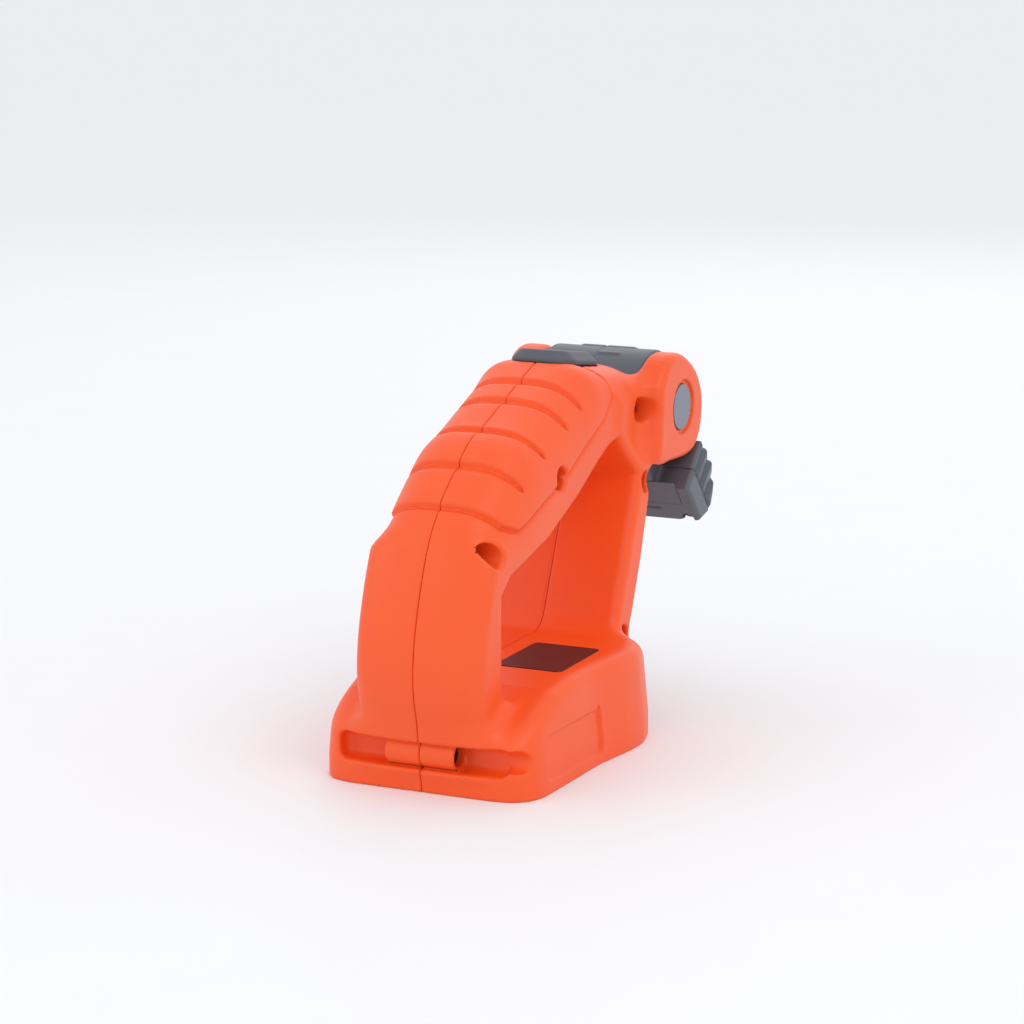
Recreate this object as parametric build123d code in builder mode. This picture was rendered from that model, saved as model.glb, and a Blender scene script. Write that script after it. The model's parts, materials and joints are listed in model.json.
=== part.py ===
"""Cordless work light: a two-shell housing with a loop handle on a battery foot, a thumb switch on top,
and a lamp head that tilts between two ears at the front.

Millimetres. +Z is up and the lamp faces -Y. The parting plane of the shells is X = 0.
Side outlines are written as (reach, height): reach is measured forwards from the foot's rear edge.
"""
import math
import os

from build123d import *

os.makedirs("parts", exist_ok=True)

# Driving dimensions
REAR_Y = 88.953  # the foot's rear edge in the part's frame
WALL = 2.6
GRIP_HALF_WIDTH = 24.0
COLUMN_HALF_WIDTH = 29.0
FOOT_TOP = 35.0
SEAT_TOP = 134.2

BAY_HALF_WIDTH = 36.4
BAY_REAR = 10.0
BAY_TOP = 19.5
RAIL_HALF_GAP = 31.0
RAIL_BOTTOM = 9.0
RAIL_TOP = 12.0

PIVOT = (156.0, 110.0)
EAR_RADIUS = 21.0
EAR_INNER = 21.0
EAR_OUTER = 32.0
EAR_BORE = 8.5
CAP_RADIUS = 8.44
CAP_RECESS_RADIUS = 10.1
STEM_RADIUS = 6.0

BARREL_RADIUS = 20.5
BARREL_HALF = 20.6
HEAD_TILT = 42.6  # degrees that the beam points above level at rest
HEAD_HALF_WIDTH = 34.0
HEAD_BACK = -21.0
HEAD_SPLIT = -11.5
HEAD_FRONT = 2.0
WING_TOP = 22.6
HEAD_END = 48.0

LENS_CENTRE = 32.0
LENS_HALF = (29.9, 7.3)
WINDOW_HALF = (28.3, 5.8)
LED_PITCH = 18.0
HEAD_SCREW = (29.0, 42.0)

SCREW_HEAD_RADIUS = 3.4
SCREW_SHANK_RADIUS = 1.5
SCREW_SEAT = 8.0
SCREW_END = 11.0
BORE_RADIUS = 4.1
BOSS_RADIUS = 5.3
REAR_BOSS = (2.8, 13.5)
SCREW_SPOTS = [(11.5, 81.0), (62.0, 98.5), (130.0, 112.5), (128.4, 86.5), (106.5, 33.0), REAR_BOSS]

SWITCH_REACH = 109.5
SWITCH_HALF = (14.5, 16.0)
SWITCH_CORNER = 8.0
SWITCH_GAP = 0.4
SWITCH_STEM_HALF = (10.5, 9.0)
SWITCH_BASE = 134.0
SWITCH_TOP = 138.0
SWITCH_FLOOR = 132.2
SWITCH_BODY_TOP = 124.5


def at(reach, height):
    """The (y, z) place of a point of a side outline."""
    return (REAR_Y - reach, height)


def outline(points):
    return [at(*point) for point in points]


def along_x(spot, start=0.0):
    """The plane square to X, at x = start, with its origin on a side-outline point."""
    return Plane(origin=(start, *at(*spot)), x_dir=(0, 1, 0), z_dir=(1, 0, 0))


def finish(part, name):
    part.label = name
    export_step(part, f"parts/{name}.step")


PIVOT_POINT = (0, *at(*PIVOT))
BEAM = (0, -math.cos(math.radians(HEAD_TILT)), math.sin(math.radians(HEAD_TILT)))
# Across the head: local x runs along the beam and local y away from the pivot
HEAD_SIDE = Plane(origin=PIVOT_POINT, x_dir=BEAM, z_dir=(1, 0, 0))
# Facing the lens: local x is X and local y runs back towards the pivot
HEAD_FACE = Plane(origin=PIVOT_POINT, x_dir=(1, 0, 0), z_dir=BEAM)

# ---------------------------------------------------------------- housing outlines

BACK_ARC = [(-2.0, 18.5), (-6.6, 42.0), (4.9, 82.5)]
GRIP_STATIONS = [(38.4, 114.0), (96.0, 133.9)]
FRONT_CORNERS = [
    (127.0, SEAT_TOP), (139.4, 124.6), (134.0, 113.0), (134.0, 86.0), (110.0, 29.0), (104.0, 12.0)
]
LOOP_HOLE = [
    (15.2, 30.0), (15.2, 69.0), (50.0, 78.0), (80.0, 90.0), (113.0, 104.6), (124.5, 92.0), (95.0, 31.5)
]
FRONT_COLUMN = [
    (93.1, 27.6), (124.0, 91.0), (124.0, 122.0), (132.6, 122.0), (132.6, 90.0), (133.2, 79.0), (126.2, 58.0),
    (118.9, 41.0), (110.5, 26.4)
]
FOOT_PLAN = [(0, 40.0), (37, 41.3), (56, 42.0), (78, 45.4), (92, 44.2), (112, 36.0), (118, 22.0)]
FOOT_SIDE = [
    (-1, 0), (-1, 20), (4, 22.6), (9, 24.6), (27, 33.0), (42, FOOT_TOP), (98, FOOT_TOP), (114, 26), (119, 0)
]

with BuildSketch(Plane.YZ) as loop_face:
    with BuildLine():
        back = ThreePointArc(*outline(BACK_ARC))
        shoulder = TangentArc(back @ 1, at(*GRIP_STATIONS[0]), tangent=back % 1)
        grip = TangentArc(shoulder @ 1, at(*GRIP_STATIONS[1]), tangent=shoulder % 1)
        Polyline(grip @ 1, *outline(FRONT_CORNERS), at(8.0, 12.0), back @ 0)
    make_face()

with BuildSketch(Plane.YZ) as hole_face:
    with BuildLine():
        FilletPolyline(*outline(LOOP_HOLE), radius=5.0, close=True)
    make_face()

with BuildSketch(Plane.YZ) as column_face:
    with BuildLine():
        FilletPolyline(*outline(FRONT_COLUMN), radius=1.5, close=True)
    make_face()

with BuildSketch(Plane.YZ) as foot_side:
    with BuildLine():
        Polyline(*outline(FOOT_SIDE), close=True)
    make_face()

with BuildSketch(Plane.XY) as foot_plan:
    with BuildLine():
        right_side = [(-half, REAR_Y - reach) for reach, half in FOOT_PLAN]
        left_side = [(half, REAR_Y - reach) for reach, half in reversed(FOOT_PLAN)]
        FilletPolyline(*right_side, *left_side, radius=9.0, close=True)
    make_face()

X_DIR = (1, 0, 0)
Z_DIR = (0, 0, 1)

# ---------------------------------------------------------------- one shell, without its screw bosses

with BuildPart() as foot_form:
    add(foot_side.sketch)
    extrude(amount=50, dir=X_DIR)
    with BuildSketch(Plane.XY):
        add(foot_plan.sketch)
    extrude(amount=60, dir=Z_DIR, mode=Mode.INTERSECT)

with BuildPart() as column_form:
    add(column_face.sketch)
    extrude(amount=COLUMN_HALF_WIDTH, dir=X_DIR)
    fillet(column_form.faces().sort_by(Axis.X)[-1].edges(), radius=4.0)

with BuildPart() as loop_form:
    with BuildSketch(Plane.YZ) as loop_ring:
        add(loop_face.sketch_local)
        add(hole_face.sketch_local, mode=Mode.SUBTRACT)
    extrude(amount=GRIP_HALF_WIDTH, dir=X_DIR)
    rim = loop_form.faces().sort_by(Axis.X)[-1].outer_wire().edges()
    fillet(rim.filter_by(GeomType.CIRCLE), radius=8.0)
    fillet(loop_form.faces().sort_by(Axis.X)[-1].inner_wires()[0].edges(), radius=5.0)
    rim = loop_form.faces().sort_by(Axis.X)[-1].outer_wire().edges()
    fillet(rim.filter_by(GeomType.LINE), radius=4.0)

with BuildPart() as ear_form:
    with BuildSketch(along_x(PIVOT, EAR_INNER)):
        Circle(EAR_RADIUS)
    extrude(amount=EAR_OUTER - EAR_INNER, dir=X_DIR)
    fillet(ear_form.faces().sort_by(Axis.X)[-1].edges(), radius=3.0)
    with BuildSketch(Plane.YZ.offset(EAR_INNER)):
        with BuildLine():
            Polyline(*outline([(128, 91.5), (150, 91.5), (150, 128), (132, 127), (124, 120)]), close=True)
        make_face()
    extrude(amount=EAR_OUTER - EAR_INNER - 2.5, dir=X_DIR)

with BuildPart() as loop_hollow:
    with BuildSketch(Plane.YZ):
        add(loop_ring.sketch_local)
        offset(amount=-WALL)
    extrude(amount=GRIP_HALF_WIDTH - WALL, dir=X_DIR)


def rounded_block(centre, half, corner, low, high):
    """An upright block with rounded corners, centred on (x, reach)."""
    with BuildPart(mode=Mode.PRIVATE) as block:
        with BuildSketch(Plane.XY.offset(low)):
            with Locations((centre[0], REAR_Y - centre[1])):
                RectangleRounded(2 * half[0], 2 * half[1], corner)
        extrude(amount=high - low, dir=Z_DIR)
    return block.part


def rod(spot, radius, start, end):
    """A rod along X on a side-outline point."""
    with BuildPart(mode=Mode.PRIVATE) as piece:
        with BuildSketch(along_x(spot, start)):
            Circle(radius)
        extrude(amount=end - start, dir=X_DIR)
    return piece.part


def chamber(half_width, rear, front, low, high):
    """An upright box across the parting plane, from rear to front reach."""
    with BuildPart(mode=Mode.PRIVATE) as box:
        with Locations((0, REAR_Y - rear, low)):
            Box(2 * half_width, front - rear, high - low, align=(Align.CENTER, Align.MAX, Align.MIN))
    return box.part


switch_spot = (0, SWITCH_REACH)
switch_pocket = rounded_block(
    switch_spot, (SWITCH_HALF[0] + SWITCH_GAP, SWITCH_HALF[1] + SWITCH_GAP), SWITCH_CORNER, SWITCH_FLOOR, 140
)
switch_window = rounded_block(
    switch_spot, (SWITCH_STEM_HALF[0] + SWITCH_GAP, SWITCH_STEM_HALF[1] + SWITCH_GAP), 2.0, 125, 140
)
switch_bed = chamber(20.5, 93.5, 126.0, 128.8, 133.0)
rail_block = Pos(RAIL_HALF_GAP, REAR_Y - BAY_REAR - 18, RAIL_BOTTOM) * Box(
    8, 74, RAIL_TOP - RAIL_BOTTOM, align=(Align.MIN, Align.MAX, Align.MIN)
)
half_space = Box(100, 400, 400, align=(Align.MIN, Align.CENTER, Align.CENTER))

with BuildPart() as shell_blank:
    add(foot_form.part)
    add(loop_form.part)
    add(column_form.part)
    add(ear_form.part)
    add(loop_hollow.part, mode=Mode.SUBTRACT)
    # The battery bay is open at the bottom and the front, and its rail runs along the side wall
    add(chamber(BAY_HALF_WIDTH, BAY_REAR, 130, -1, BAY_TOP), mode=Mode.SUBTRACT)
    add(chamber(BAY_HALF_WIDTH, 29, 90, 0, 31), mode=Mode.SUBTRACT)
    add(rail_block)
    # The screws' bosses cross the hollows from the skin to the parting plane
    for spot in SCREW_SPOTS[:-1]:
        add(rod(spot, BOSS_RADIUS, 0, 22.5))
    # A pocket across the foot's rear leaves a bare boss on the parting plane
    add(chamber(33, -9, 6.6, 8.0, 19.2), mode=Mode.SUBTRACT)
    add(chamber(13, 3, 8, 8.5, 18.5))
    add(rod(REAR_BOSS, 5.05, 0, 13))
    # The switch sits in a shallow pocket, and its stem passes a window in the pocket's floor
    add(switch_bed)
    add(switch_pocket, mode=Mode.SUBTRACT)
    add(switch_window, mode=Mode.SUBTRACT)
    add(rod(PIVOT, EAR_BORE, EAR_INNER - 1, EAR_OUTER + 1), mode=Mode.SUBTRACT)
    add(rod(PIVOT, CAP_RECESS_RADIUS, EAR_OUTER - 1.2, EAR_OUTER + 1), mode=Mode.SUBTRACT)
    add(rod((134, 98), 3.0, -1, 3), mode=Mode.SUBTRACT)
    add(half_space, mode=Mode.INTERSECT)

nameplate_spot = (-19.5, 60.5)
nameplate_half = (12.5, 17.5)
nameplate_recess = rounded_block(nameplate_spot, (12.6, 17.6), 2.1, FOOT_TOP - 0.3, FOOT_TOP + 1)

with BuildPart() as left_housing:
    add(shell_blank.part)
    for spot in SCREW_SPOTS:
        add(rod(spot, SCREW_SHANK_RADIUS, -1, SCREW_END + 1), mode=Mode.SUBTRACT)
finish(left_housing.part, "left_housing")

with BuildPart() as right_housing:
    add(mirror(shell_blank.part, about=Plane.YZ))
    for spot in SCREW_SPOTS:
        add(rod(spot, SCREW_SHANK_RADIUS + 0.2, -SCREW_SEAT - 1, 1), mode=Mode.SUBTRACT)
        reach = -SCREW_SEAT - (10 if spot == REAR_BOSS else 30)
        add(rod(spot, 3.8 if spot == REAR_BOSS else BORE_RADIUS, reach, -SCREW_SEAT), mode=Mode.SUBTRACT)
    add(nameplate_recess, mode=Mode.SUBTRACT)
finish(right_housing.part, "right_housing")

# ---------------------------------------------------------------- housing fittings

with BuildPart() as housing_screws:
    for spot in SCREW_SPOTS:
        add(rod(spot, SCREW_HEAD_RADIUS, -SCREW_SEAT - 2.6, -SCREW_SEAT))
        add(rod(spot, SCREW_SHANK_RADIUS, -SCREW_SEAT, SCREW_END))
        with Locations(along_x(spot, -SCREW_SEAT - 2.6)):
            Box(1.0, 4.4, 2.4, mode=Mode.SUBTRACT)
            Box(4.4, 1.0, 2.4, mode=Mode.SUBTRACT)
finish(housing_screws.part, "housing_screws")

with BuildPart() as foot_nameplate:
    add(rounded_block(nameplate_spot, nameplate_half, 2.0, FOOT_TOP - 0.3, FOOT_TOP + 0.1))
finish(foot_nameplate.part, "foot_nameplate")

BLADE_X = (-9.0, -3.0, 3.0, 9.0)
with BuildPart() as terminal_block:
    add(chamber(15, 31, 49, 14, 30.8))
    add(chamber(17.5, 33, 37, 20, 30.8))
    for x in BLADE_X:
        with Locations((x, REAR_Y - 49, 19.5)):
            Box(0.8, 24, 7, align=(Align.CENTER, Align.CENTER, Align.CENTER), mode=Mode.SUBTRACT)
finish(terminal_block.part, "terminal_block")

with BuildPart() as contact_blades:
    for x in BLADE_X:
        with Locations((x, REAR_Y - 37, 19.5)):
            Box(0.8, 25, 7, align=(Align.CENTER, Align.MAX, Align.CENTER))
finish(contact_blades.part, "contact_blades")

with BuildPart() as driver_board:
    with BuildSketch(Plane(origin=(0, *at(83, 106)), x_dir=X_DIR, z_dir=(0, 0.42, 0.91))):
        RectangleRounded(24, 22, 1)
    extrude(amount=1.6)
    with BuildSketch(Plane(origin=(0, *at(83, 107.6)), x_dir=X_DIR, z_dir=(0, 0.42, 0.91))):
        with GridLocations(9, 9, 2, 2):
            Rectangle(5, 4)
    extrude(amount=2.0)
finish(driver_board.part, "driver_board")


def wire_pair(points, spread, radius):
    """Two wires side by side along a smooth side-outline route."""
    with BuildPart(mode=Mode.PRIVATE) as pair:
        for x in (-spread, spread):
            with BuildLine() as route:
                Spline(*[(x, *at(*point)) for point in points])
            with BuildSketch(Plane(origin=route.line @ 0, z_dir=route.line % 0)):
                Circle(radius)
            sweep(path=route.line)
    return pair.part


BATTERY_WIRE_ROUTE = [
    (30.4, 24), (18, 23.5), (6, 34), (4.2, 50), (8, 64), (21, 78), (38, 96), (60, 110), (84, 117),
    (99.6, 119)
]
with BuildPart() as battery_wires:
    add(wire_pair(BATTERY_WIRE_ROUTE, 1.4, 0.9))
finish(battery_wires.part, "battery_wires")

with BuildPart() as lamp_wires:
    add(wire_pair([(120.3, 115), (121.5, 108), (124, 101), (129, 98.6), (133.6, 98)], 1.1, 0.8))
finish(lamp_wires.part, "lamp_wires")

# ---------------------------------------------------------------- switch

switch_axis = Plane(origin=(0, REAR_Y - SWITCH_REACH, SWITCH_BODY_TOP))

with BuildPart() as switch_body:
    add(chamber(8.5, 100, 119, 111, SWITCH_BODY_TOP))
    with BuildSketch(switch_axis):
        Circle(2.05)
    extrude(amount=-8, mode=Mode.SUBTRACT)
finish(switch_body.part, "switch_body")

with BuildPart() as switch_plunger:
    with BuildSketch(switch_axis.offset(-5)):
        Circle(2.0)
    extrude(amount=5 + 6.4)
finish(switch_plunger.part, "switch_plunger")

with BuildPart() as button_spring:
    with BuildLine() as coil:
        Helix(pitch=1.3, height=5.2, radius=4.2, center=(0, REAR_Y - SWITCH_REACH, SWITCH_BODY_TOP + 0.4))
    with BuildSketch(Plane(origin=coil.line @ 0, z_dir=coil.line % 0)):
        Circle(0.3)
    sweep(path=coil.line)
finish(button_spring.part, "button_spring")

with BuildPart() as switch_button:
    with BuildSketch(Plane.XY.offset(SWITCH_BASE)):
        with Locations((0, REAR_Y - SWITCH_REACH)):
            RectangleRounded(2 * SWITCH_HALF[0], 2 * SWITCH_HALF[1], SWITCH_CORNER)
    extrude(amount=SWITCH_TOP - SWITCH_BASE)
    chamfer(switch_button.faces().sort_by(Axis.Z)[-1].edges(), length=3.2, length2=2.2)
    add(rounded_block(switch_spot, SWITCH_STEM_HALF, 1.6, 126.6, SWITCH_BASE))
    with BuildSketch(switch_axis):
        Circle(5.6)
    extrude(amount=6.4, mode=Mode.SUBTRACT)
finish(switch_button.part, "switch_button")

# ---------------------------------------------------------------- lamp head


def across_head(points, half_width):
    """A prism along X with an outline in the head's (beam, away) axes."""
    with BuildPart(mode=Mode.PRIVATE) as prism:
        with BuildSketch(HEAD_SIDE.offset(-half_width)):
            with BuildLine():
                Polyline(*points, close=True)
            make_face()
        extrude(amount=2 * half_width)
    return prism.part


def beam_block(centre, half, corner, low, high):
    """A block with rounded corners along the beam, centred on (x, away)."""
    with BuildPart(mode=Mode.PRIVATE) as block:
        with BuildSketch(HEAD_FACE.offset(low)):
            with Locations((centre[0], -centre[1])):
                RectangleRounded(2 * half[0], 2 * half[1], corner)
        extrude(amount=high - low)
    return block.part


def beam_rod(centre, radius, low, high, top_radius=None):
    """A rod or cone along the beam, centred on (x, away)."""
    with BuildPart(mode=Mode.PRIVATE) as piece:
        with Locations(HEAD_FACE.offset((low + high) / 2)):
            with Locations((centre[0], -centre[1], 0)):
                if top_radius:
                    Cone(radius, top_radius, high - low)
                else:
                    Cylinder(radius, high - low)
    return piece.part


def rectangle(low_beam, high_beam, low_away, high_away):
    return [(low_beam, low_away), (high_beam, low_away), (high_beam, high_away), (low_beam, high_away)]


lens_middle = (0, LENS_CENTRE)
screw_places = [(side * HEAD_SCREW[0], HEAD_SCREW[1]) for side in (-1, 1)]
wing_outline = [
    (HEAD_BACK, WING_TOP), (HEAD_BACK, 43.0), (HEAD_SPLIT - 1, HEAD_END), (HEAD_SPLIT, HEAD_END),
    (HEAD_SPLIT, WING_TOP)
]
neck_outline = [
    (HEAD_BACK + 0.5, 2.0), (HEAD_BACK, WING_TOP + 1), (HEAD_SPLIT, WING_TOP + 1), (HEAD_SPLIT, WING_TOP),
    (0.5, WING_TOP), (0.5, 15.0)
]
bezel_outline = [
    (HEAD_SPLIT, WING_TOP), (HEAD_SPLIT, HEAD_END), (-5.7, 45.6), (0.0, 41.6), (HEAD_FRONT, 40.0),
    (HEAD_FRONT, WING_TOP)
]

with BuildPart() as head_back_shell:
    add(across_head(wing_outline, HEAD_HALF_WIDTH))
    add(across_head(neck_outline, BARREL_HALF))
    add(rod(PIVOT, BARREL_RADIUS, -BARREL_HALF, BARREL_HALF))
    add(rod(PIVOT, BARREL_RADIUS - 2.5, -17.5, 17.5), mode=Mode.SUBTRACT)
    add(across_head(rectangle(-18.6, -3.0, 8.0, 20.4), 17.5), mode=Mode.SUBTRACT)
    add(across_head(rectangle(-18.8, HEAD_SPLIT + 0.1, 20.3, 40.0), 17.5), mode=Mode.SUBTRACT)
    add(across_head(rectangle(-18.8, HEAD_SPLIT + 1, WING_TOP + 2.2, 44.4), 31.6), mode=Mode.SUBTRACT)
    for place in screw_places:
        add(beam_rod(place, 3.4, -19.5, HEAD_SPLIT))
        add(beam_rod(place, 2.6, HEAD_BACK - 1, -16.5), mode=Mode.SUBTRACT)
        add(beam_rod(place, 1.45, -17, HEAD_SPLIT + 1), mode=Mode.SUBTRACT)
    add(rod(PIVOT, STEM_RADIUS, -BARREL_HALF - 1, BARREL_HALF + 1), mode=Mode.SUBTRACT)
    add(rod((141.0, 101.0), 2.4, -4, 4), mode=Mode.SUBTRACT)
    add(beam_block((0, 26.5), (29.0, 6.5), 1.5, HEAD_BACK - 1, HEAD_BACK + 0.4), mode=Mode.SUBTRACT)
finish(head_back_shell.part, "head_back_shell")

with BuildPart() as head_bezel:
    add(across_head(bezel_outline, HEAD_HALF_WIDTH + 0.4))
    add(beam_block(lens_middle, (31.4, 7.4), 1.0, HEAD_SPLIT - 1, -2.6), mode=Mode.SUBTRACT)
    lens_room = [half + 0.1 for half in LENS_HALF]
    window_room = [half + 0.2 for half in WINDOW_HALF]
    add(beam_block(lens_middle, lens_room, 3.0, -2.7, -0.6), mode=Mode.SUBTRACT)
    add(beam_block(lens_middle, window_room, 4.0, -1, 4), mode=Mode.SUBTRACT)
    for place in screw_places:
        add(beam_rod(place, 1.2, HEAD_SPLIT - 1, -5.2), mode=Mode.SUBTRACT)
finish(head_bezel.part, "head_bezel")

with BuildPart() as head_screws:
    for place in screw_places:
        add(beam_rod(place, 2.4, -18.3, -16.5))
        add(beam_rod(place, 1.2, -16.5, -5.2))
        with Locations(HEAD_FACE.offset(-18.3)):
            with Locations((place[0], -place[1], 0)):
                Box(3.0, 0.8, 1.6, mode=Mode.SUBTRACT)
                Box(0.8, 3.0, 1.6, mode=Mode.SUBTRACT)
finish(head_screws.part, "head_screws")

with BuildPart() as lens:
    add(beam_block(lens_middle, LENS_HALF, 2.9, -2.6, -0.7))
    add(beam_block(lens_middle, WINDOW_HALF, 3.8, -0.7, 1.2))
finish(lens.part, "lens")

with BuildPart() as lens_gasket:
    add(beam_block(lens_middle, (30.6, 7.3), 1.0, -3.4, -2.6))
    add(beam_block(lens_middle, (28.6, 5.9), 1.0, -4, -2), mode=Mode.SUBTRACT)
finish(lens_gasket.part, "lens_gasket")

led_places = [(LED_PITCH * step, LENS_CENTRE) for step in (-1, 0, 1)]
with BuildPart() as reflector:
    add(beam_block(lens_middle, (30.8, 7.2), 1.0, -8.4, -3.4))
    for place in led_places:
        add(beam_rod(place, 2.9, -8.4, -3.4, 6.6), mode=Mode.SUBTRACT)
finish(reflector.part, "reflector")

with BuildPart() as led_board:
    add(beam_block(lens_middle, (30.0, 7.0), 1.0, -10.2, -8.6))
finish(led_board.part, "led_board")

with BuildPart() as led_emitters:
    for place in led_places:
        add(beam_block(place, (1.7, 1.7), 0.3, -8.6, -7.7))
finish(led_emitters.part, "led_emitters")

with BuildPart() as heat_sink:
    add(beam_block(lens_middle, (29.5, 6.8), 1.0, -12.4, -10.2))
    for step in range(7):
        add(beam_block((8.0 * (step - 3), LENS_CENTRE), (0.8, 6.4), 0.3, -16.4, -12.4))
finish(heat_sink.part, "heat_sink")

with BuildPart() as head_label:
    add(beam_block((0, 26.5), (28.9, 6.4), 1.4, HEAD_BACK, HEAD_BACK + 0.4))
finish(head_label.part, "head_label")

with BuildPart() as led_wires:
    with BuildLine() as led_route:
        Spline((0, *at(142.0, 101.6)), (0, *at(150, 100)), (0, *at(153, 92.5)), (0, *at(160.2, 84.6)))
    for x in (-1.2, 1.2):
        with BuildSketch(Plane(origin=Vector(x, 0, 0) + led_route.line @ 0, z_dir=led_route.line % 0)):
            Circle(0.7)
        sweep(path=Pos(x, 0, 0) * led_route.line)
finish(led_wires.part, "led_wires")

CAP_STEPS = [(STEM_RADIUS, 13.0, BARREL_HALF), (CAP_RADIUS, BARREL_HALF + 0.05, EAR_OUTER - 0.6)]
for side, name in ((-1, "pivot_cap_right"), (1, "pivot_cap_left")):
    with BuildPart() as pivot_cap:
        for radius, near, far in CAP_STEPS:
            low, high = sorted((side * near, side * far))
            add(rod(PIVOT, radius, low, high))
        low, high = sorted((side * (BARREL_HALF - 1), side * (BARREL_HALF + 1)))
        add(rod(PIVOT, 5.0, low, high))
        low, high = sorted((side * 12.0, side * 18.0))
        add(rod(PIVOT, 2.5, low, high), mode=Mode.SUBTRACT)
    finish(pivot_cap.part, name)
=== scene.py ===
import json
import math

import bpy
import numpy as np
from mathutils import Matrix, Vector


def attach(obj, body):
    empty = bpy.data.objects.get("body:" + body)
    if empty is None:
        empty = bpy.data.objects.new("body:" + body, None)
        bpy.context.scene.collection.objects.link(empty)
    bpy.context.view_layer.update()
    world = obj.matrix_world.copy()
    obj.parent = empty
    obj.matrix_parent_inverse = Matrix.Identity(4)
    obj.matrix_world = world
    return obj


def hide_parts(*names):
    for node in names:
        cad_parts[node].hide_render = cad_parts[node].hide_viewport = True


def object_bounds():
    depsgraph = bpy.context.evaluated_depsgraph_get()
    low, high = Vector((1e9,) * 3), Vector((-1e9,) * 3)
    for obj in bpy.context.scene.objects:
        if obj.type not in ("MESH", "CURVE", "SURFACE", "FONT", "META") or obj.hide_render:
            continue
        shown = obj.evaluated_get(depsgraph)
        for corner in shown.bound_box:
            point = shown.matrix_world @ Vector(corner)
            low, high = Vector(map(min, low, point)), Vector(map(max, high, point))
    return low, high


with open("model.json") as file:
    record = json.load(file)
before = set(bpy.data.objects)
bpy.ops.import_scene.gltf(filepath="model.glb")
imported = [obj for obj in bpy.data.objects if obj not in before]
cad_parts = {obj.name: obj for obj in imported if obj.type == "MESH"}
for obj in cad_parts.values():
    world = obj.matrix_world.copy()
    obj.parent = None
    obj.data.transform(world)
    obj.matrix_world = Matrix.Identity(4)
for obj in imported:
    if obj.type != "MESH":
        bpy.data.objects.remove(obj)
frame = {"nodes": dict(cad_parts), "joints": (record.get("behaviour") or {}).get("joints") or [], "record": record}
CAD_LOW, CAD_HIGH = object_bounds()
NODES = frame["nodes"]
JOINTS = {joint["name"]: joint for joint in frame["joints"]}

# Lengths are millimetres until a mesh is made. A side outline is (reach, height), with reach measured
# forwards from the foot's rear edge; the lamp head has its own pair, (beam, away), about its pivot.
MM = 0.001
PIVOT = (156.0, 110.0)
PIVOT_POINT = JOINTS["head_tilt"]["pos_m"]
REAR_Y = PIVOT_POINT[1] / MM + PIVOT[0]
TILT = math.radians(42.6)

GRIP_HALF = 24.0
CROWN = 32.0
COLUMN_CROWN = 9.0
WALL = 2.6
FOOT_TOP = 35.0
EAR_INNER, EAR_OUTER = 21.0, 32.0
BARREL_RADIUS, BARREL_HALF = 20.5, 20.6
SEAM = 0.05

SCREWS = [(11.5, 81.0), (62.0, 98.5), (130.0, 112.5), (128.4, 86.5), (106.5, 33.0)]
REAR_BOSS = (2.8, 13.5)
SCREW_SEAT = 8.0
BORE = 4.1
BOSS = 6.3

PROFILE = [
    (0, 8), (-2, 18.5), (-6.3, 36), (-5.7, 50.7), (-1.5, 66.8), (4.9, 82.5), (12.6, 93.4), (26.5, 104.9),
    (38.4, 113.2), (52, 117.6), (72.6, 125.5), (85.3, 130.2), (93, 132.6), (101, 132.4), (112, 131),
    (126, 129), (134, 126.8), (138.4, 123), (137, 117),
]
PROFILE_FRONT = [(130, 108), (129, 79), (122, 58), (114, 41), (106, 28), (98, 10)]
HOLE = [
    (15.2, 28), (15.2, 66), (22, 71), (52, 78), (78, 88.5), (98, 98.7), (112, 104.2), (122, 90), (95.3, 30),
]
COLUMN = [
    (82, 24), (108, 92), (112, 119), (133.6, 119), (134.2, 86),
    (133, 79), (126, 58), (118.7, 41), (110.5, 24),
]
EAR = [
    (132, 93), (139, 90.8), (146, 90.9), (158, 90.4), (166, 91), (172, 94.3), (176.2, 101.7), (176.6, 112),
    (172, 120.5), (165, 126), (156, 130), (147, 130.6), (140, 127.5), (134, 120),
]
PLAN = [(-1, 40), (37, 41.3), (56, 42), (78, 45), (92, 44), (112, 36), (119, 22)]
CREST = [(-4, -9), (-4, 20), (4, 22.6), (9, 25), (18, 29.5), (27, 33), (42, FOOT_TOP), (98, FOOT_TOP),
         (106, 33), (114, 26), (119, 8), (119, -9)]
PANEL = [(8.5, 103.5), (14.6, 96), (20, 89.4), (27.3, 86.6), (33, 88), (43.5, 92), (66, 99), (77.7, 104.5),
         (98, 113.5), (107.6, 120.4), (107.5, 125.9), (98, 133.5), (93, 150), (0, 150)]
GROOVES = [(29.7, 107.1, 32), (47.9, 115.7, 27), (67.5, 122.9, 23), (80.5, 128, 20)]


# ---- distance fields

def step01(t):
    t = np.clip(t, 0, 1)
    return t * t * (3 - 2 * t)


def union(a, b, k):
    """Both forms, with a fillet of about k where they meet."""
    h = np.maximum(k - np.abs(a - b), 0) / k
    return np.minimum(a, b) - h * h * k / 4


def common(a, b, k):
    return -union(-a, -b, k)


def cut(a, b, k):
    """The first form without the second, with edges rounded by about k."""
    return -union(-a, b, k)


def curve(points, pieces=5):
    """A Catmull-Rom curve through the points, left open at its ends."""
    p = np.array([points[0], *points, points[-1]], float)
    out = []
    for i in range(1, len(p) - 2):
        for t in np.arange(pieces) / pieces:
            a, b, c, d = p[i - 1:i + 3]
            out.append(0.5 * (2 * b + (c - a) * t + (2 * a - 5 * b + 4 * c - d) * t * t
                              + (3 * b - a - 3 * c + d) * t ** 3))
    return [tuple(q) for q in out] + [tuple(points[-1])]


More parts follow.
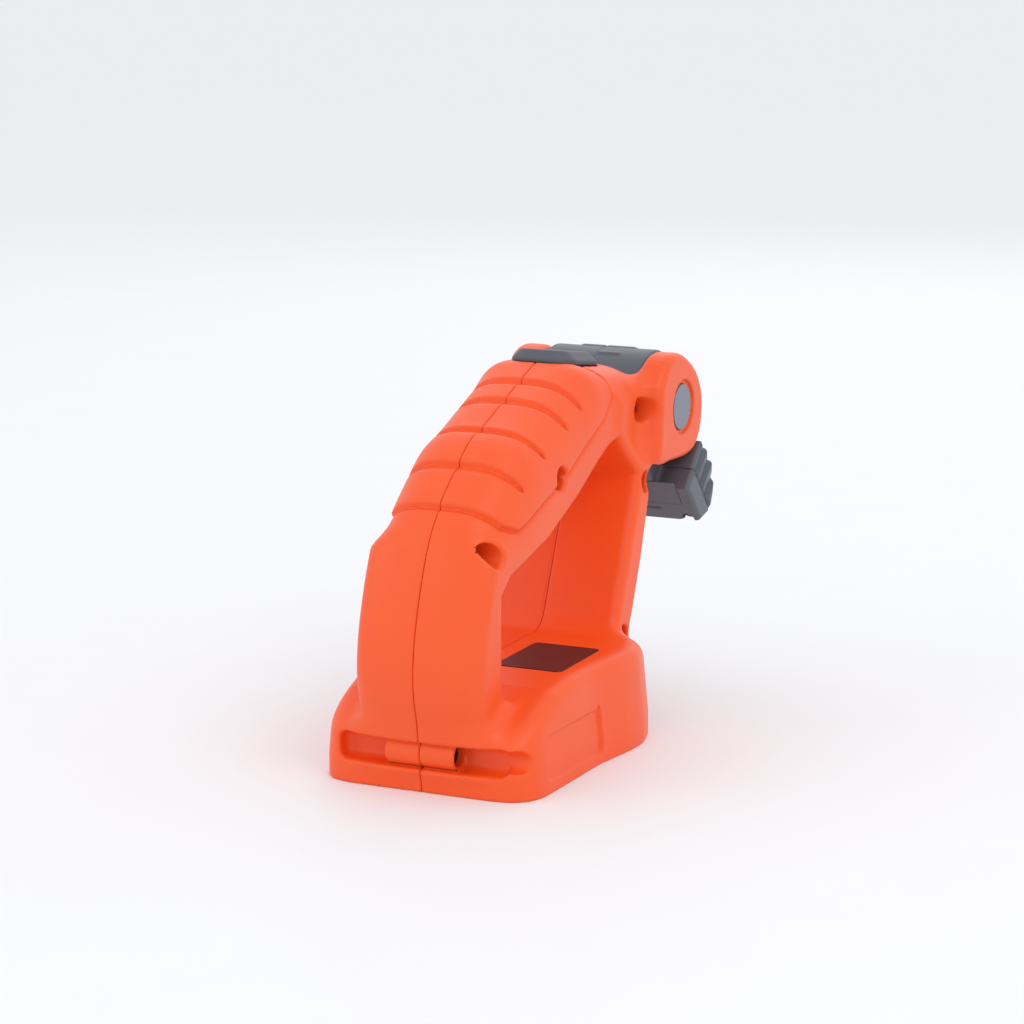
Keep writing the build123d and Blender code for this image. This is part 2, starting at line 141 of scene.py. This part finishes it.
def polygon(u, v, points):
    """The signed distance to a closed outline, negative inside."""
    pts = np.array(points, float)
    best = np.full(np.broadcast(u, v).shape, 1e9)
    inside = np.zeros(best.shape, bool)
    for (ax, ay), (bx, by) in zip(pts, np.roll(pts, -1, axis=0)):
        ex, ey = bx - ax, by - ay
        t = np.clip(((u - ax) * ex + (v - ay) * ey) / (ex * ex + ey * ey), 0, 1)
        best = np.minimum(best, (u - ax - t * ex) ** 2 + (v - ay - t * ey) ** 2)
        if ay != by:
            crosses = ((ay > v) != (by > v)) & (u < ex * (v - ay) / ey + ax)
            inside ^= crosses
    return np.where(inside, -1, 1) * np.sqrt(best)


def slab(flat, across, half, radius):
    """An outline's distance made solid across a half-width, with rounded edges."""
    a, b = flat + radius, across - half + radius
    outside = np.sqrt(np.maximum(a, 0) ** 2 + np.maximum(b, 0) ** 2)
    return np.minimum(np.maximum(a, b), 0) + outside - radius


def box(u, v, w, centre, half, radius):
    q = [np.abs(c - m) - h + radius for c, m, h in zip((u, v, w), centre, half)]
    outside = np.sqrt(sum(np.maximum(c, 0) ** 2 for c in q))
    return np.minimum(np.maximum(np.maximum(q[0], q[1]), q[2]), 0) + outside - radius


def rounded(u, v, centre, half, corner):
    """The distance to a flat rectangle with rounded corners."""
    a, b = np.abs(u - centre[0]) - half[0] + corner, np.abs(v - centre[1]) - half[1] + corner
    return np.minimum(np.maximum(a, b), 0) + np.hypot(np.maximum(a, 0), np.maximum(b, 0)) - corner


def disc(u, v, centre, radius):
    return np.hypot(u - centre[0], v - centre[1]) - radius


PROFILE_LINE = curve(PROFILE) + PROFILE_FRONT
EAR_LINE = curve(EAR, 3)
PLAN_LINE = np.array(curve(PLAN)).T


def seat_drop(s):
    """The thumb pad and its seat slope down towards the lamp."""
    return 0.15 * (s - 95)


def loop(x, s, z):
    """The grip and the rear column, crowned across, round the finger hole."""
    crown = COLUMN_CROWN + (CROWN - COLUMN_CROWN) * step01((0.5 * s + z - 84) / 14)
    depth = np.maximum(crown + polygon(s, z, PROFILE_LINE), 0) / crown
    power = 3.1 + 0.8 * step01((s - 80) / 20)
    width = np.abs(x) / GRIP_HALF
    size = np.maximum((depth ** power + width ** power) ** (1 / power), 0.02)
    rate = np.hypot((depth / size) ** (power - 1) / crown, (width / size) ** (power - 1) / GRIP_HALF)
    return (size - 1) / np.maximum(rate, 0.02)


def grip_relief(x, s, z):
    """How far the grip's ribbed panel stands out of the body."""
    border = polygon(s, z, PANEL)
    relief = 0.9 * step01(0.5 - border / 1.6) - 1.2 * np.exp(-((border - 0.5) / 0.95) ** 2)
    ends = step01((22.6 - x) / 2.2)
    for reach, height, tilt in GROOVES:
        a = math.radians(tilt)
        ahead = (s - reach) * math.cos(a) + (z - height) * math.sin(a)
        width = 4.8 * np.sqrt(np.maximum(1 - (x / 23.5) ** 2, 0.1))
        ramp = np.clip(1 + ahead / width, 0, 1) ** 1.2 * step01((1.2 - ahead) / 1.6)
        relief = relief - 1.9 * ramp * ends
    return relief


def housing(x, s, z, side):
    """One shell, for x measured outwards from the parting plane. side is -1 for the screws' shell."""
    body = loop(x, s, z)
    column = slab(polygon(s, z, COLUMN), x, 29.0 - 4.5 * step01((z - 90) / 16), 5.0)
    body = union(body, column, 6.5)
    from_ear_middle = np.abs(x - (EAR_INNER + EAR_OUTER) / 2)
    ear = slab(polygon(s, z, EAR_LINE), from_ear_middle, (EAR_OUTER - EAR_INNER) / 2, 3.2)
    # the fillet stays small under the ear, where the lamp head swings past
    body = union(body, ear, 4 + 6 * step01((z - 92) / 8))
    body = cut(body, polygon(s, z, HOLE), 4.5)
    inner = body + WALL + 0.4
    body = body - grip_relief(x, s, z) * step01((z - 80) / 3)

    side_wall = x - np.interp(s, PLAN_LINE[0], PLAN_LINE[1]) + 0.1 * np.maximum(z - 8, 0)
    plan = common(common(side_wall, -1 - s, 16), s - 119, 22)
    crest = polygon(s, z, CREST)
    foot = common(plan, crest, 7.0)
    solid = union(body, foot, 7.0)

    # the foot's rear pocket, with the boss that the last screw holds across it
    pocket = box(x, s, z, (0, -1.5, 12.9), (31.5, 8.1, 4.7), 3.0)
    solid = cut(solid, pocket, 1.6)
    boss = np.maximum(disc(s, z, REAR_BOSS, 5.05), x - 13)
    root = box(x, s, z, (0, 5.5, 13.5), (13, 3.0, 5.0), 0.5)
    solid = union(solid, union(boss, root, 1.0), 0.8)
    clear_of_pocket = np.minimum(pocket, disc(s, z, REAR_BOSS, 5.05))

    # the side's shallow panel, which ends at an upright groove
    panel = rounded(s, z, (35, 12), (20.5, 7.8), 3.5)
    solid = solid + 0.7 * step01(0.5 - panel / 1.2) * step01((x - 36) / 2)
    groove = rounded(s, z, (56.2, 12.5), (0.9, 8.0), 0.8)
    solid = solid + 1.2 * step01(0.5 - groove / 0.8) * step01((x - 36) / 2)

    # the hollows: the loop, with bosses left for the screws, and the battery bay
    hollow = np.maximum(inner, 12 - z)
    hollow = np.maximum(hollow, WALL - clear_of_pocket)
    for spot in SCREWS:
        hollow = np.maximum(hollow, BOSS - np.hypot(s - spot[0], z - spot[1]))
    hollow = np.maximum(hollow, x - 21.4)
    hollow = np.maximum(hollow, z - 128.8 + seat_drop(s))
    solid = cut(solid, hollow, 0.4)
    bay = box(x, s, z, (0, 70, 9.25), (36.4, 60, 10.25), 1.0)
    deep = box(x, s, z, (0, 59.5, 15), (36.4, 30.5, 16), 1.0)
    solid = cut(solid, np.minimum(bay, deep), 0.5)
    rail = box(x, s, z, (35, 65, 10.5), (4, 37, 1.5), 0.4)
    solid = np.minimum(solid, rail)

    # the thumb pad's pocket and window, the barrel's room, and the ear's bore with its recess
    pad = rounded(x, s, PAD_CENTRE, (PAD_HALF[0] + PAD_GAP, PAD_HALF[1] + PAD_GAP), PAD_CORNER + PAD_GAP)
    solid = cut(solid, np.maximum(pad, 131.0 - seat_drop(s) - z), 0.5)
    window = rounded(x, s, PAD_CENTRE, (10.9, 9.4), 2.0)
    solid = cut(solid, np.maximum(window, 125 - z), 0.3)
    turn = disc(s, z, PIVOT, BARREL_RADIUS + 0.8)
    solid = cut(solid, np.maximum(turn, x - EAR_INNER), 0.6)
    # no fillet inside the ears in front of the column, where the head's neck swings
    swing = np.maximum(np.maximum(x - EAR_INNER, 135.2 - s), z - 103)
    solid = cut(solid, swing, 0.3)
    solid = cut(solid, np.maximum(disc(s, z, PIVOT, 8.5), EAR_INNER - 2 - x), 0.3)
    solid = cut(solid, np.maximum(disc(s, z, PIVOT, 10.1), EAR_OUTER - 1.2 - x), 0.6)
    if side < 0:
        for spot in SCREWS:
            solid = cut(solid, np.maximum(disc(s, z, spot, BORE), SCREW_SEAT - x), 1.8)
        solid = cut(solid, np.maximum(disc(s, z, REAR_BOSS, 3.8), SCREW_SEAT - x), 0.6)
        plate = rounded(x, s, (19.5, 60.5), (12.6, 17.6), 2.1)
        solid = cut(solid, np.maximum(plate, np.abs(z - FOOT_TOP - 0.7) - 1.0), 0.15)
    # the floor rim, and the parting plane with its fine groove
    solid = cut(solid, z, 0.6)
    return common(solid + 0.35 * step01(1 - x / 0.7), SEAM - x, 0.25)


def head_axes(s, z):
    ahead, up = s - PIVOT[0], z - PIVOT[1]
    beam = ahead * math.cos(TILT) + up * math.sin(TILT)
    away = ahead * math.sin(TILT) - up * math.cos(TILT)
    return beam, away


WING = [(-21, 22.6), (-21, 43), (-12.5, 48), (-11.5, 48), (-11.5, 22.6)]
NECK = [(-20.5, 2), (-21, 23.6), (-11.5, 23.6), (-11.5, 22.6), (0.5, 22.6), (0.5, 15)]
BEZEL = [(-11.5, 22.6), (-11.5, 48), (-5.7, 45.6), (0, 41.6), (2, 40), (2, 22.6)]
HEAD_SCREW = (29.0, 42.0)
LENS_AWAY = 32.0
PAD_CENTRE = (0, 109.5)
PAD_HALF = (12.4, 16.0)
PAD_CORNER = 8.0
PAD_GAP = 0.4


def notches(across, away):
    """Sawtooth steps down the head's sides: how far each pulls the side in."""
    depth = 0
    for start in (20.0, 27.5, 35.0):
        t = (away - start) / 7.5
        depth = depth + 1.8 * np.clip(t, 0, 1) * step01((1 - t) * 7)
    return depth * step01((across - 26) / 5)


def head_back(x, s, z):
    b, a = head_axes(s, z)
    across = np.abs(x)
    wing = slab(polygon(b, a, WING), across, 34.0, 1.8)
    wing = common(wing, (across - b - 54.0) * 0.71, 0.6)
    wing = np.maximum(wing, b + 11.55)
    neck = slab(polygon(b, a, NECK), across, BARREL_HALF, 0.8)
    barrel = slab(disc(s, z, PIVOT, BARREL_RADIUS), across, BARREL_HALF, 1.2)
    solid = union(union(wing, neck, 2.5), barrel, 2.0)
    for place, low, high in ((2.0, -12, 10), (-6.5, -9, 0)):
        top = math.sqrt(BARREL_RADIUS ** 2 - place ** 2)
        middle = ((low + high) / 2, PIVOT[0] + place, PIVOT[1] + top - 0.4)
        rib = box(x, s, z, middle, ((high - low) / 2, 1.3, 0.9), 0.8)
        solid = union(solid, rib, 0.6)
    solid = solid + 0.35 * np.exp(-(x / 0.45) ** 2) * step01((-a + 14) / 4)
    solid = cut(solid, np.maximum(disc(s, z, PIVOT, BARREL_RADIUS - 2.5), across - 17.5), 0.4)
    solid = cut(solid, box(across, b, a, (0, -10.8, 14.2), (17.5, 7.8, 6.2), 0.5), 0.4)
    solid = cut(solid, box(across, b, a, (0, -15.1, 30.2), (17.5, 3.7, 9.9), 0.5), 0.4)
    solid = cut(solid, box(across, b, a, (0, -14.6, 34.6), (31.6, 4.2, 9.8), 0.5), 0.4)
    label = rounded(x, a, (0, 26.5), (29.0, 6.5), 1.5)
    solid = cut(solid, np.maximum(label, b + 20.6), 0.15)
    line = rounded(x, a, (0, 36.2), (20, 0.5), 0.45)
    solid = solid + 0.6 * step01(0.5 - line / 0.5) * step01((-19.5 - b) / 1)
    post = disc(across, a, HEAD_SCREW, 3.4)
    post = np.maximum(post, polygon(b, a, WING) + 0.6)
    solid = np.minimum(solid, np.maximum(post, np.maximum(-19.5 - b, b + 11.6)))
    solid = cut(solid, np.maximum(disc(across, a, HEAD_SCREW, 2.6), b + 16.5), 0.4)
    solid = cut(solid, disc(across, a, HEAD_SCREW, 1.45), 0.1)
    return cut(solid, disc(s, z, PIVOT, 6.0), 0.3)


def head_frame(x, s, z):
    b, a = head_axes(s, z)
    across = np.abs(x)
    side = slab(polygon(b, a, BEZEL), across + notches(across, a), 34.3, 2.0)
    solid = np.maximum(side, -11.45 - b)
    solid = cut(solid, np.maximum(rounded(x, a, (0, LENS_AWAY), (31.4, 7.4), 1.0), b + 2.6), 0.2)
    solid = cut(solid, np.maximum(rounded(x, a, (0, LENS_AWAY), (30.0, 7.4), 3.0), b + 0.6), 0.2)
    solid = cut(solid, rounded(x, a, (0, LENS_AWAY), (28.5, 6.0), 4.0), 0.9)
    bores = np.maximum(disc(across, a, HEAD_SCREW, 1.2), b + 5.2)
    return cut(solid, bores, 0.1)


def thumb_pad(x, s, z):
    plan = rounded(x, s, PAD_CENTRE, PAD_HALF, PAD_CORNER)
    level = z + seat_drop(s)
    sloped = common(plan, (plan + level - 134.6) * 0.71, 0.5)
    solid = common(sloped, np.abs(level - 135.4) - 2.5, 0.6)
    dish = np.hypot(np.hypot(x, (s - 109.5) * 0.7), level - 217.0) - 79.5
    solid = cut(solid, dish, 0.6)
    stem = np.maximum(rounded(x, s, PAD_CENTRE, (10.5, 9.0), 1.6), np.abs(z - 129.6) - 3.0)
    stem = np.maximum(stem, -np.maximum(disc(x, s, PAD_CENTRE, 5.6), z - 130.9))
    return np.minimum(solid, stem)


# ---- mesh from a field

def axis_steps(low, high, step):
    return np.linspace(low, high, int(math.ceil((high - low) / step)) + 1)


def surface(field, xs, ss, zs):
    """Surface nets: one vertex per cell that the surface crosses and one quad per crossed grid edge."""
    d = field(xs[:, None, None], ss[None, :, None], zs[None, None, :])
    d = np.broadcast_to(d, (len(xs), len(ss), len(zs))).astype(np.float32)
    inside = d < 0
    nx, ns, nz = (n - 1 for n in d.shape)
    total = np.zeros((nx, ns, nz, 3), np.float32)
    count = np.zeros((nx, ns, nz), np.float32)
    grids = (xs, ss, zs)
    for axis in range(3):
        for first in (0, 1):
            for second in (0, 1):
                start = [0, 0, 0]
                others = [k for k in range(3) if k != axis]
                start[others[0]], start[others[1]] = first, second
                low = tuple(slice(o, o + n) for o, n in zip(start, (nx, ns, nz)))
                end = list(start)
                end[axis] = 1
                high = tuple(slice(o, o + n) for o, n in zip(end, (nx, ns, nz)))
                where = np.nonzero(inside[low] != inside[high])
                a, b = d[low][where], d[high][where]
                t = a / (a - b)
                for k in range(3):
                    at = grids[k][where[k] + start[k]]
                    if k == axis:
                        at = at + t * (grids[k][where[k] + 1] - grids[k][where[k]])
                    total[(*where, k)] += at
                count[where] += 1
    used = count > 0
    index = np.full(count.shape, -1, np.int64)
    index[used] = np.arange(used.sum())
    points = total[used] / count[used][:, None]
    quads = []
    for axis in range(3):
        p, q = [(1, 2), (2, 0), (0, 1)][axis]
        low, high = [slice(None)] * 3, [slice(None)] * 3
        low[axis], high[axis] = slice(0, -1), slice(1, None)
        change = inside[tuple(low)] != inside[tuple(high)]
        cells = np.array(np.nonzero(change)).T
        limits = np.array((nx, ns, nz))
        keep = (cells[:, p] > 0) & (cells[:, q] > 0) & (cells[:, p] < limits[p]) & (cells[:, q] < limits[q])
        cells = cells[keep]
        corners = []
        for dp, dq in ((1, 1), (0, 1), (0, 0), (1, 0)):
            c = cells.copy()
            c[:, p] -= dp
            c[:, q] -= dq
            corners.append(index[c[:, 0], c[:, 1], c[:, 2]])
        quad = np.stack(corners, 1)
        outwards = inside[cells[:, 0], cells[:, 1], cells[:, 2]]
        quad[~outwards] = quad[~outwards][:, ::-1]
        quads.append(quad)
    return points.astype(float), np.concatenate(quads)


def slope(field, p, h):
    ways = [field(*(p + h * e).T) - field(*(p - h * e).T) for e in np.eye(3)]
    return np.stack(ways, 1) / (2 * h)


def settle(field, p, reach):
    """Moves vertices onto the surface, by no more than reach each time."""
    for _ in range(3):
        g = slope(field, p, 0.05)
        size = np.maximum((g ** 2).sum(1), 0.05)
        move = -(field(*p.T) / size)[:, None] * g
        length = np.linalg.norm(move, axis=1, keepdims=True)
        p = p + move * np.minimum(1, reach / np.maximum(length, 1e-9))
    return p


def moulded(name, field, low, high, step, body, slot_name, nodes, material, side=1, fine_x=None):
    """A moulded piece made from its field, in place of CAD nodes. side -1 mirrors it."""
    step = step * 1
    xs = axis_steps(low[0], high[0], step)
    if fine_x:
        xs = np.concatenate([np.array(fine_x), axis_steps(fine_x[-1] + step, high[0], step)])
    points, quads = surface(field, xs, axis_steps(low[1], high[1], step), axis_steps(low[2], high[2], step))
    points = settle(field, points, step * (0.3 if not fine_x else 0.2))
    g = slope(field, points, 0.22)
    normals = g / np.maximum(np.linalg.norm(g, axis=1, keepdims=True), 1e-9)
    place = np.stack([side * points[:, 0], REAR_Y - points[:, 1], points[:, 2]], 1) * MM
    normals = normals * np.array([side, -1, 1])
    # the reach axis runs against Y, so faces turn over unless the piece is mirrored as well
    if side > 0:
        quads = quads[:, ::-1]
    mesh = bpy.data.meshes.new(name)
    mesh.from_pydata(place.tolist(), [], quads.tolist())
    mesh.validate()
    mesh.shade_smooth()
    if len(mesh.vertices) == len(normals):
        mesh.normals_split_custom_set_from_vertices(normals.tolist())
    piece = bpy.data.objects.new(name, mesh)
    bpy.context.scene.collection.objects.link(piece)
    piece.data.materials.append(material)
    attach(piece, body)
    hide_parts(*nodes)
    return piece


# ---- materials

def surface_material(name, colour, roughness, grain=0.0, grain_scale=2500, tint=0.04, metallic=0.0,
                     specular=0.5, bands=None):
    """A plastic or metal whose colour, roughness and grain vary finely over the surface."""
    material = bpy.data.materials.new(name)
    material.use_nodes = True
    nodes, links = material.node_tree.nodes, material.node_tree.links
    shader = nodes["Principled BSDF"]
    shader.inputs["Metallic"].default_value = metallic
    shader.inputs["Specular IOR Level"].default_value = specular
    place = nodes.new("ShaderNodeTexCoord")

    mottle = nodes.new("ShaderNodeTexNoise")
    mottle.inputs["Scale"].default_value = 28
    mottle.inputs["Detail"].default_value = 6
    links.new(place.outputs["Object"], mottle.inputs["Vector"])
    ramp = nodes.new("ShaderNodeValToRGB")
    ramp.color_ramp.elements[0].position, ramp.color_ramp.elements[1].position = 0.3, 0.7
    ramp.color_ramp.elements[0].color = [max(0, c * (1 - tint)) for c in colour] + [1]
    ramp.color_ramp.elements[1].color = [min(1, c * (1 + tint)) for c in colour] + [1]
    links.new(mottle.outputs["Fac"], ramp.inputs["Fac"])
    links.new(ramp.outputs["Color"], shader.inputs["Base Color"])

    fine = nodes.new("ShaderNodeTexNoise")
    fine.inputs["Scale"].default_value = grain_scale
    fine.inputs["Detail"].default_value = 3
    if bands:
        stretch = nodes.new("ShaderNodeMapping")
        stretch.inputs["Scale"].default_value = bands
        links.new(place.outputs["Object"], stretch.inputs["Vector"])
        links.new(stretch.outputs["Vector"], fine.inputs["Vector"])
    else:
        links.new(place.outputs["Object"], fine.inputs["Vector"])
    spread = nodes.new("ShaderNodeMapRange")
    spread.inputs["To Min"].default_value = roughness - 0.05
    spread.inputs["To Max"].default_value = roughness + 0.05
    links.new(fine.outputs["Fac"], spread.inputs["Value"])
    links.new(spread.outputs["Result"], shader.inputs["Roughness"])
    if grain:
        bump = nodes.new("ShaderNodeBump")
        bump.inputs["Strength"].default_value = grain
        bump.inputs["Distance"].default_value = 0.00004
        links.new(fine.outputs["Fac"], bump.inputs["Height"])
        links.new(bump.outputs["Normal"], shader.inputs["Normal"])
    return material


MATERIALS = {
    "orange_abs": surface_material("orange_abs", (0.93, 0.098, 0.012), 0.40, grain=0.25, tint=0.02,
                                   specular=0.45),
    "black_steel": surface_material("black_steel", (0.03, 0.03, 0.033), 0.38, grain=0.2, metallic=0.8),
    "label_maroon": surface_material("label_maroon", (0.045, 0.012, 0.016), 0.42, grain=0.1, tint=0.1),
    "black_nylon": surface_material("black_nylon", (0.02, 0.02, 0.022), 0.5, grain=0.4),
    "contact_brass": surface_material("contact_brass", (0.75, 0.5, 0.2), 0.3, metallic=1.0, grain=0.1),
    "board_green": surface_material("board_green", (0.015, 0.12, 0.04), 0.4, grain=0.1),
    "wire_red": surface_material("wire_red", (0.4, 0.015, 0.012), 0.45, grain=0.1),
    "button_grey": surface_material("button_grey", (0.085, 0.09, 0.11), 0.52, grain=0.5, tint=0.06),
    "spring_steel": surface_material("spring_steel", (0.55, 0.55, 0.56), 0.3, metallic=1.0),
    "head_grey": surface_material("head_grey", (0.095, 0.105, 0.13), 0.42, grain=0.4, tint=0.06),
    "gasket_rubber": surface_material("gasket_rubber", (0.02, 0.02, 0.02), 0.7, grain=0.5),
    "reflector_silver": surface_material("reflector_silver", (0.85, 0.86, 0.88), 0.16, metallic=1.0),
    "board_white": surface_material("board_white", (0.8, 0.8, 0.78), 0.5, grain=0.2),
    "led_yellow": surface_material("led_yellow", (0.85, 0.7, 0.12), 0.35, grain=0.2),
    "heat_sink_aluminium": surface_material("heat_sink_aluminium", (0.6, 0.61, 0.62), 0.35, metallic=1.0,
                                            grain=0.3, bands=(1, 1, 0.05)),
    "cap_grey": surface_material("cap_grey", (0.2, 0.215, 0.26), 0.4, grain=0.3, tint=0.05),
}


def clear_material():
    material = bpy.data.materials.new("clear_lens")
    material.use_nodes = True
    nodes, links = material.node_tree.nodes, material.node_tree.links
    shader = nodes["Principled BSDF"]
    shader.inputs["Base Color"].default_value = (0.97, 0.98, 1.0, 1)
    shader.inputs["Transmission Weight"].default_value = 1.0
    shader.inputs["IOR"].default_value = 1.49
    fine = nodes.new("ShaderNodeTexNoise")
    fine.inputs["Scale"].default_value = 400
    spread = nodes.new("ShaderNodeMapRange")
    spread.inputs["To Min"].default_value = 0.02
    spread.inputs["To Max"].default_value = 0.06
    links.new(fine.outputs["Fac"], spread.inputs["Value"])
    links.new(spread.outputs["Result"], shader.inputs["Roughness"])
    return material


MATERIALS["clear_lens"] = clear_material()
SLOT_OF = {part["node"]: part["material_slot"] for part in frame["record"]["subparts"]}

# ---- the pieces

FINE_X = [-0.4, 0.0, 0.2, 0.45, 0.8, 1.3]
for side, name in ((-1, "right_housing"), (1, "left_housing")):
    moulded(
        f"{name}_shell", lambda x, s, z, side=side: housing(x, s, z, side), (-0.4, -10, -1.5), (47, 179, 137),
        0.8, "housing", "orange_abs", [name], MATERIALS["orange_abs"], side, FINE_X
    )

HEAD_BOX = ((-36, 128, 62), (36, 193, 133))
moulded("lamp_head_back", head_back, *HEAD_BOX, 0.7, "lamp_head", "head_grey", ["head_back_shell"],
        MATERIALS["head_grey"])
moulded("lamp_head_frame", head_frame, *HEAD_BOX, 0.7, "lamp_head", "head_grey", ["head_bezel"],
        MATERIALS["head_grey"])
moulded("thumb_pad", thumb_pad, (-16, 92, 125), (16, 127, 139), 0.45, "button", "button_grey",
        ["switch_button"], MATERIALS["button_grey"])


ROUNDED_EDGES = {"pivot_cap_right": 0.5, "pivot_cap_left": 0.5, "housing_screws": 0.15, "head_screws": 0.12,
                 "foot_nameplate": 0.06, "lens": 0.3}


def finish_node(name):
    """A CAD node that stays: its material, and softened edges where it is a moulded or turned piece."""
    node = NODES[name]
    material = MATERIALS[SLOT_OF[name]]
    node.data.materials.clear()
    node.data.materials.append(material)
    if name in ROUNDED_EDGES:
        weld = node.modifiers.new("weld", "WELD")
        weld.merge_threshold = 1e-6
        bevel = node.modifiers.new("edges", "BEVEL")
        bevel.width = ROUNDED_EDGES[name] * MM
        bevel.segments = 3
        bevel.limit_method = "ANGLE"
        bevel.angle_limit = math.radians(40)
        bevel.harden_normals = True


for node_name, node in NODES.items():
    if not node.hide_render:
        finish_node(node_name)

# ---- stage and light


def backdrop():
    size = 12.0
    mesh = bpy.data.meshes.new("stage_floor")
    corners = [(-size, -size, 0), (size, -size, 0), (size, size, 0), (-size, size, 0)]
    mesh.from_pydata(corners, [], [(0, 1, 2, 3)])
    piece = bpy.data.objects.new("stage_floor", mesh)
    bpy.context.scene.collection.objects.link(piece)
    white = surface_material("stage_white", (0.9, 0.905, 0.915), 0.6, tint=0.004, specular=0.1)
    piece.data.materials.append(white)


backdrop()

CENTRE = (CAD_LOW + CAD_HIGH) / 2
VIEW_BACK = Vector((-0.4097, 0.8899, 0.2002)).normalized()
CAMERA_PLACE = Vector((-0.434, 0.8699 + REAR_Y * MM, 0.2949))


def light(name, place, size, power):
    data = bpy.data.lights.new(name, "AREA")
    data.shape = "DISK"
    data.size = size
    data.energy = power
    lamp = bpy.data.objects.new(name, data)
    bpy.context.scene.collection.objects.link(lamp)
    lamp.location = CENTRE + Vector(place)
    lamp.rotation_mode = "QUATERNION"
    lamp.rotation_quaternion = (CENTRE - lamp.location).to_track_quat("-Z", "Y")


light("key", (-0.9, 0.5, 1.2), 0.8, 3.2)
light("fill", (1.1, 0.9, 0.7), 1.0, 1.6)
light("front", (0.2, -1.2, 0.8), 1.2, 1.6)

world = bpy.data.worlds.new("studio")
bpy.context.scene.world = world
world.use_nodes = True
world.node_tree.nodes["Background"].inputs["Color"].default_value = (0.965, 0.975, 1.0, 1)
world.node_tree.nodes["Background"].inputs["Strength"].default_value = 0.95

camera_data = bpy.data.cameras.new("camera")
camera_data.lens = 105.47
camera_data.sensor_width = 36
camera_data.clip_start, camera_data.clip_end = 0.05, 60
camera = bpy.data.objects.new("camera", camera_data)
bpy.context.scene.collection.objects.link(camera)
camera.location = CAMERA_PLACE
camera.rotation_mode = "QUATERNION"
camera.rotation_quaternion = (-VIEW_BACK).to_track_quat("-Z", "Y")
bpy.context.scene.camera = camera

bpy.context.scene.view_settings.view_transform = "Standard"
bpy.context.view_layer.update()
